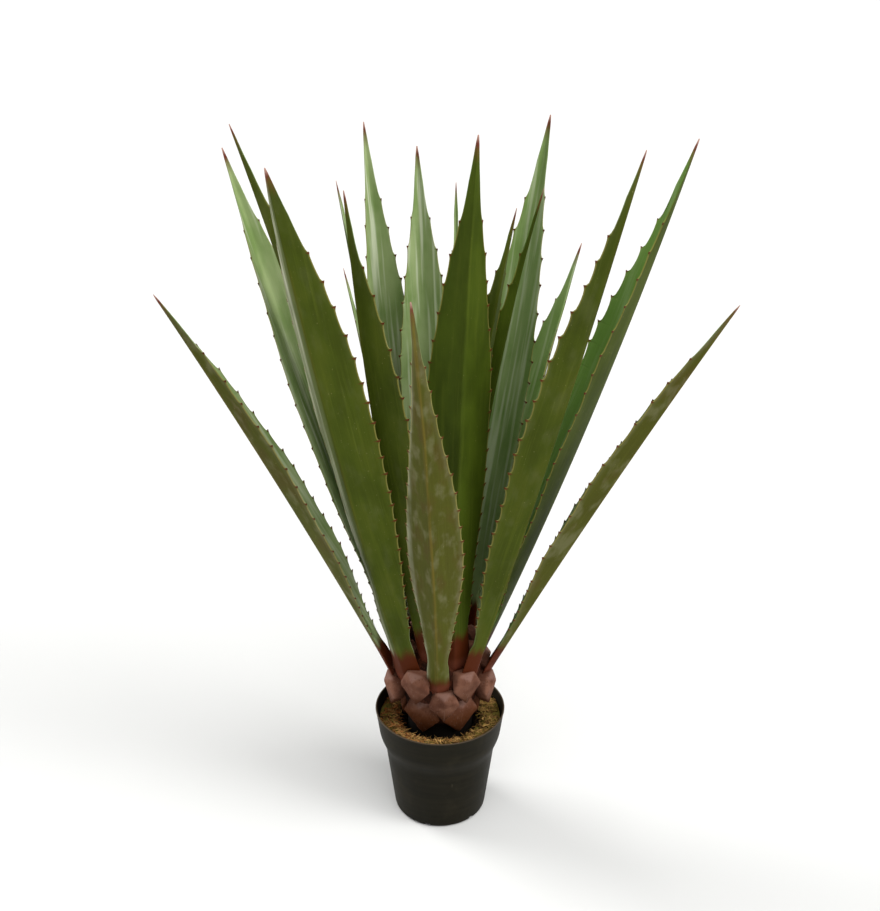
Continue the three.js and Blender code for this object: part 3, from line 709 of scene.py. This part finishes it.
# Soil: the profile turned, with lumps on its top
def soilRings():
    top, dish, hole = soilSizes["top"], soilSizes["dish"], soilSizes["hole"]
    corners = [*soilSizes["outside"], (71, top, 0.5), (dish, top, 2),
               (hole + 1, top - soilSizes["dishDepth"], 1), (hole, 60, 1), (0.01, 59.7, 0)]
    rings = turnedRings(roundedProfile(corners, 1.6), 150)
    radius = np.hypot(rings[..., 0], rings[..., 1])
    onTop = np.clip((rings[..., 2] - 104) / 3, 0, 1) * np.clip((70.3 - radius) / 2, 0, 1)
    rings[..., 2] += onTop * (1.5 * lumps(rings, 5, 41) + 0.8 * lumps(rings, 2, 42))
    return rings


# Small lumps of soil: rough balls on the dish's surface
def crumbRings():
    random = np.random.default_rng(43)
    count = soilSizes["crumbs"]
    radius = random.uniform(soilSizes["hole"] + 1, soilSizes["dish"] + 3, count)
    bearing = random.uniform(0, 2 * np.pi, count)
    slope = np.clip((radius - soilSizes["hole"]) / (soilSizes["dish"] - soilSizes["hole"]), 0, 1)
    height = soilSizes["top"] - soilSizes["dishDepth"] * (1 - slope) + 0.6
    size = random.uniform(0.6, 2.2, count)
    ring, around = np.meshgrid(np.linspace(0.4, 2.74, 5), np.arange(8) * np.pi / 4, indexing="ij")
    ball = np.stack([np.sin(ring) * np.cos(around), np.sin(ring) * np.sin(around), 0.8 * np.cos(ring)], -1)
    balls = ball * size[:, None, None, None] * random.uniform(0.7, 1.3, (count, 5, 8, 1))
    middle = np.stack([radius * np.cos(bearing), radius * np.sin(bearing), height], axis=-1)
    return balls + middle[:, None, None]


# Strands of shredded fibre: thin flat bands on short wandering paths, thickest in the middle. Each lies
# on the mulch at a small tilt, and bends sideways and up.
def strandRings(count, lengths, widths, seed, steps=8):
    random = np.random.default_rng(seed)
    t = np.linspace(-0.5, 0.5, steps)
    inside, outside = mulchSizes["inside"], mulchSizes["outside"]
    radius = np.sqrt(random.uniform(inside ** 2, outside ** 2, count))
    bearing = random.uniform(0, 2 * np.pi, count)
    crown = np.sin(np.pi * np.clip((radius - inside + 2) / (outside - inside + 4), 0, 1)) ** 0.5
    spot = np.stack([radius * np.cos(bearing), radius * np.sin(bearing), 0 * radius], axis=-1)
    clump = 0.5 + 0.4 * lumps(spot, mulchSizes["clump"], 57) + 0.35 * lumps(spot, mulchSizes["clump"] / 2, 58)
    level = 0.25 + 0.7 * clump + random.uniform(0, 0.25, count)
    height = mulchSizes["floor"] + mulchSizes["high"] * crown * level
    heading = random.uniform(0, 2 * np.pi, count)
    tilt = random.normal(0, 0.22, count)
    length = random.uniform(*lengths, count)
    ahead = np.stack([np.cos(heading) * np.cos(tilt), np.sin(heading) * np.cos(tilt), np.sin(tilt)], axis=-1)
    sideways = np.stack([-np.sin(heading), np.cos(heading), 0 * heading], axis=-1)
    upwards = np.cross(ahead, sideways)
    middle = np.stack([radius * np.cos(bearing), radius * np.sin(bearing), height], axis=-1)
    bow = random.normal(0, 0.45, (2, count, 1)) * length[:, None] * (t * t - 0.08)
    curl = random.normal(0, 0.07, (count, 1)) * length[:, None]
    curl = curl * np.sin(9 * t + random.uniform(0, 6, (count, 1)))
    path = middle[:, None] + ahead[:, None] * (length[:, None] * t)[..., None]
    path = path + sideways[:, None] * (bow[0] + curl)[..., None]
    path = path + upwards[:, None] * (0.4 * bow[1])[..., None]
    roll = random.uniform(0, np.pi, (count, 1)) + random.normal(0, 1.2, (count, 1)) * t
    across = sideways[:, None] * np.cos(roll)[..., None] + upwards[:, None] * np.sin(roll)[..., None]
    through = upwards[:, None] * np.cos(roll)[..., None] - sideways[:, None] * np.sin(roll)[..., None]
    width = random.uniform(*widths, (count, 1)) * (1 - 0.75 * np.abs(2 * t) ** 3)
    corner = np.array([(1, 0.15), (0.1, 0.4), (-1, 0.1), (-0.1, -0.4)])
    rings = path[:, :, None] + across[:, :, None] * (width[..., None] * corner[:, 0] / 2)[..., None]
    rings = rings + through[:, :, None] * (width[..., None] * corner[:, 1] / 2)[..., None]
    far = np.hypot(rings[..., 0], rings[..., 1])  # kept clear of the pot's wall
    limit = mulchSizes["wall"] + (rings[..., 2] - soilSizes["top"]) * mulchSizes["wallSlope"]
    rings[..., :2] *= np.minimum(1, limit / far)[..., None]
    tone = random.uniform(0, 1, (3, count))
    # Lightness follows the heaps: partly real clumps of tone, partly painted shade that darkens the strands
    # lying low between heaps
    tone[0] = 0.35 * tone[0] + 0.65 * clump
    tone[2] = 0.6 * tone[2] + 0.4 * (0.5 - 0.5 * spot[:, 0] / outside)
    tone = tone[:, :, None, None] + np.zeros((3, count, steps, 4))
    return rings, tone


# Bed of matted fibre under the strands: a ring with a rough crowned top
def bedRings():
    inside, outside, floor, high = [mulchSizes[key] for key in ("inside", "outside", "floor", "high")]
    corners = [(inside, floor, 0.3), (inside + 1.5, floor + 0.45 * high, 1),
               (inside + 5, floor + 0.75 * high, 2), (inside + 10, floor + 0.85 * high, 2),
               (outside - 0.6, floor + 0.7 * high, 0.8), (outside - 1.2, floor, 0.3)]
    loop = roundedProfile([*corners, corners[0]], 1.1)
    rings = turnedRings(loop, 200)
    rise = np.clip((rings[..., 2] - floor) / 3, 0, 1)
    rings[..., 2] += rise * (1.3 * lumps(rings, 4, 51) + 0.8 * lumps(rings, 1.8, 52) - 1.2)
    return rings


# Skin over a stack of rings whose last ring is joined to its first, so it needs no caps
def closedSkin(rings):
    count, around = rings.shape[:2]
    low = np.arange(count)[:, None] * around
    high = (np.arange(count) + 1)[:, None] % count * around
    a = np.arange(around)
    b = (a + 1) % around
    quads = np.stack([low + a, high + a, high + b, low + b], axis=-1).reshape(-1, 4)
    return rings.reshape(-1, 3), quads, np.zeros((0, 3), int)


# Potting soil: damp peat, crumbly, nearly black brown
def pottingSoil():
    material, tree, shader = newMaterial("dampPeatSoil", 0.92, 1.4)
    place = addNode(tree, "TexCoord").outputs["Object"]
    coarse = grain(tree, place, (300, 300, 300), 4.0)
    fine = grain(tree, place, (1500, 1500, 1500), 2.0)
    colour = over(tree, linear("#140E09"), linear("#3A2A1C"), ramp(tree, coarse, 0.35, 0.7))
    colour = over(tree, colour, linear("#6A5238"), times(tree, ramp(tree, fine, 0.66, 0.8), 0.5))
    tree.links.new(colour, shader.inputs["Base Color"])
    bump = addNode(tree, "Bump", {"Strength": 0.8, "Distance": 0.8 * mm, "Height": coarse})
    tree.links.new(bump.outputs[0], shader.inputs["Normal"])
    return material


# Shredded coir and bark: dry golden to brown fibre, torn, dull
def shreddedFibre():
    material, tree, shader = newMaterial("shreddedCoirFibre", 0.82, 1.45)
    light, dark, hue = attributeParts(tree, "fibreTone")
    place = addNode(tree, "TexCoord").outputs["Object"]
    mottle = grain(tree, place, (500, 500, 500), 3.0)
    colour = over(tree, linear("#4C3112"), linear("#C2985A"), ramp(tree, light, 0.2, 0.95))
    colour = over(tree, colour, linear("#3A2413"), ramp(tree, dark, 0.72, 0.95))
    colour = over(tree, colour, linear("#A9602C"), times(tree, ramp(tree, hue, 0.62, 0.85), 0.6))
    colour = over(tree, colour, linear("#8A8436"), times(tree, ramp(tree, hue, 0.35, 0.15), 0.45))
    colour = over(tree, colour, linear("#5E3C1E"), times(tree, ramp(tree, mottle, 0.45, 0.25), 0.6))
    tree.links.new(colour, shader.inputs["Base Color"])
    bump = addNode(tree, "Bump", {"Strength": 0.5, "Distance": 0.3 * mm, "Height": mottle})
    tree.links.new(bump.outputs[0], shader.inputs["Normal"])
    return material


soilMaterial = pottingSoil()
makePiece("potting_soil", ["soil"], "soil", soilMaterial, *skinsOver(soilRings()[None]))
makePiece("soil_crumbs", ["soil"], "soil", soilMaterial, *skinsOver(crumbRings()))

fibreMaterial = shreddedFibre()
for bitName, bitSizes in mulchSizes["bits"].items():
    bits, bitTone = strandRings(*bitSizes)
    makePiece(bitName, ["mulch"], "mulch", fibreMaterial, *skinsOver(bits),
              {"fibreTone": [onSkins(values) for values in bitTone]})
bed = bedRings()
# Painted shade: the bed takes the darkest fibre tone, standing in for the shade in the gaps between the
# strands
makePiece("mulch_bed", ["mulch"], "mulch", fibreMaterial, *closedSkin(bed),
          {"fibreTone": [np.full(bed[..., 0].size, tone) for tone in (0.1, 0.9, 0)]})
print("soil and mulch made")


# Floor, light and camera

def stageMaterial():
    material, tree, shader = newMaterial("paleFloorPaint", 0.8, 1.45)
    place = addNode(tree, "TexCoord").outputs["Object"]
    colour = over(tree, linear("#DCDCDA"), linear("#E0E0DE"), grain(tree, place, (3, 3, 3), 2.0))
    tree.links.new(colour, shader.inputs["Base Color"])
    return material


stageSizes = {"floor": 60, "under": 0.0005, "worldLight": 0.32}
bpy.ops.mesh.primitive_plane_add(size=stageSizes["floor"], location=(0, 0, -stageSizes["under"]))
floor = bpy.context.object
floor.name = "studio_floor"
floor.data.materials.append(stageMaterial())

world = bpy.data.worlds.new("studio")
world.use_nodes = True
world.node_tree.nodes["Background"].inputs["Color"].default_value = linear("#F7F8FA")
world.node_tree.nodes["Background"].inputs["Strength"].default_value = stageSizes["worldLight"]
bpy.context.scene.world = world

# Soft lights far away, even over the whole floor: bearing and height of each in degrees, its spread in
# degrees and its strength
studioLights = {
    "ceiling": (-58, 68, 50, 1.95),
    "leftBox": (150, 22, 36, 3.0),
    "rightBox": (-20, 34, 30, 1.5),
}
for lightName, (bearing, up, spread, power) in studioLights.items():
    light = bpy.data.lights.new(lightName, "SUN")
    light.angle = math.radians(spread)
    light.energy = power
    lamp = bpy.data.objects.new(lightName, light)
    bpy.context.scene.collection.objects.link(lamp)
    lamp.rotation_euler = (math.radians(90 - up), 0, math.radians(bearing + 90))

viewSizes = {"back": 1.375, "up": 1.134, "down": 25.98, "lens": 56.1}
cameraData = bpy.data.cameras.new("camera")
cameraData.lens = viewSizes["lens"]
cameraData.sensor_width = 36
camera = bpy.data.objects.new("camera", cameraData)
bpy.context.scene.collection.objects.link(camera)
camera.location = (0, -viewSizes["back"], viewSizes["up"])
camera.rotation_euler = (math.radians(90 - viewSizes["down"]), 0, 0)
bpy.context.scene.camera = camera
bpy.context.scene.view_settings.view_transform = "Standard"

bpy.context.view_layer.update()
